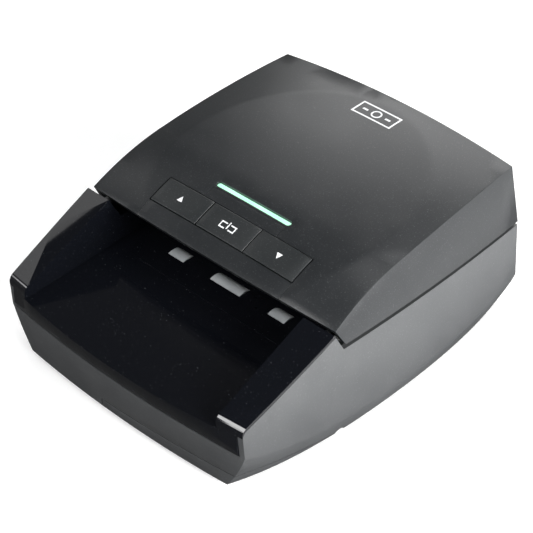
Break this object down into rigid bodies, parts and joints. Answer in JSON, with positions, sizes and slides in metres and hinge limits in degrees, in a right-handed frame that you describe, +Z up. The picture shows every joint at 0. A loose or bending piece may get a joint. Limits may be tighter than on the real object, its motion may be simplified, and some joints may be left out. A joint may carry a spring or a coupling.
{
  "type": "counterfeit bill detector",
  "caption": "Desktop banknote checker with a sloping open note tray, hinged cover, sprung keys, a light bar and a motor-driven roller transport inside.",
  "frame": {"origin": "centre of the bounding box in plan, at the bottom of the feet", "axes": "+Z up, +X to the right seen from the tray side, the tray faces -Y and the notes leave towards +Y"},
  "size_m": [0.1248, 0.1538, 0.0663],
  "materials": {
    "cover_plastic": "fine satin texture",
    "base_plastic": "fine satin texture",
    "gloss_black": "piano black gloss",
    "inner_black": "matte",
    "foot_rubber": "matte",
    "roller_rubber": "ground grey",
    "steel": "brushed",
    "screw_steel": "zinc plated",
    "brass": "turned",
    "white_plastic": "natural acetal",
    "pcb": "solder mask",
    "chips": "moulded epoxy",
    "cell_wrap": "heat shrink",
    "sensor_glass": "polished",
    "lamp": "translucent diffuser",
    "belt_rubber": "matte",
    "key_plastic": "satin"
  },
  "bodies": {
    "base": {"lower_housing": "base_plastic", "feet": "foot_rubber", "case_screws": "screw_steel", "battery_pack": "cell_wrap", "intake_tray": "gloss_black", "rear_deck": "inner_black", "lower_window": "sensor_glass", "lower_sensor_board": "pcb", "drive_motor": "steel", "side_plates": "steel", "bushes": "brass", "drive_belt": "belt_rubber", "main_board": "pcb", "board_parts": "chips", "dc_jack": "chips", "data_port": "steel", "switch_body": "inner_black", "hinge_pins": "steel"},
    "door": {"battery_door": "base_plastic", "door_foot": "foot_rubber"},
    "intake_drive": {"feed_shaft_front": "steel", "feed_rollers_front": "roller_rubber", "shaft_gear": "white_plastic", "front_pulley": "white_plastic"},
    "exit_drive": {"feed_shaft_rear": "steel", "feed_rollers_rear": "roller_rubber", "rear_pulley": "white_plastic"},
    "motor_rotor": {"motor_shaft": "steel", "motor_pinion": "brass"},
    "rocker": {"power_rocker": "gloss_black"},
    "cover": {"upper_cover": "cover_plastic", "keypad_bezel": "cover_plastic", "light_bar": "lamp", "light_board": "pcb", "key_board": "pcb", "key_switches": "chips", "upper_guide": "inner_black", "upper_window": "sensor_glass", "upper_sensor_board": "pcb", "magnetic_heads": "steel", "pinch_carrier": "inner_black"},
    "key_left": {"key_up": "key_plastic"},
    "key_middle": {"key_mode": "key_plastic"},
    "key_right": {"key_down": "key_plastic"},
    "pinch": {"pinch_axle": "steel", "pinch_rollers": "white_plastic"}
  },
  "joints": [
    {"name": "cover_hinge", "type": "hinge", "parent": "base", "child": "cover", "pos_m": [0, 0.0739, 0.041], "axis": [-1, 0, 0], "range_deg": [0, 45]},
    {"name": "battery_door_slide", "type": "slide", "parent": "base", "child": "door", "axis": [0, -1, 0], "range_m": [0, 0.012]},
    {"name": "intake_turn", "type": "hinge", "parent": "base", "child": "intake_drive", "pos_m": [0, -0.0178, 0.0258], "axis": [-1, 0, 0], "continuous": true},
    {"name": "exit_turn", "type": "hinge", "parent": "base", "child": "exit_drive", "pos_m": [0, 0.052, 0.0258], "axis": [-1, 0, 0], "continuous": true},
    {"name": "motor_turn", "type": "hinge", "parent": "base", "child": "motor_rotor", "pos_m": [0.05, -0.0042, 0.01737], "axis": [-1, 0, 0], "continuous": true},
    {"name": "rocker_tilt", "type": "hinge", "parent": "base", "child": "rocker", "pos_m": [0.026, 0.072, 0.015], "axis": [1, 0, 0], "range_deg": [0, 16]},
    {"name": "pinch_turn", "type": "hinge", "parent": "cover", "child": "pinch", "pos_m": [0, 0.052, 0.0357], "axis": [-1, 0, 0], "continuous": true},
    {"name": "key_up_press", "type": "slide", "parent": "cover", "child": "key_left", "axis": [0, 0.3556, -0.9346], "range_m": [0, 0.0006], "stiffness_N_per_m": 400},
    {"name": "key_mode_press", "type": "slide", "parent": "cover", "child": "key_middle", "axis": [0, 0.3556, -0.9346], "range_m": [0, 0.0006], "stiffness_N_per_m": 400},
    {"name": "key_down_press", "type": "slide", "parent": "cover", "child": "key_right", "axis": [0, 0.3556, -0.9346], "range_m": [0, 0.0006], "stiffness_N_per_m": 400}
  ],
  "couplings": [
    {"joint": "exit_turn", "follows": "intake_turn", "ratio": 1},
    {"joint": "motor_turn", "follows": "intake_turn", "ratio": -3},
    {"joint": "pinch_turn", "follows": "intake_turn", "ratio": -1.375}
  ]
}
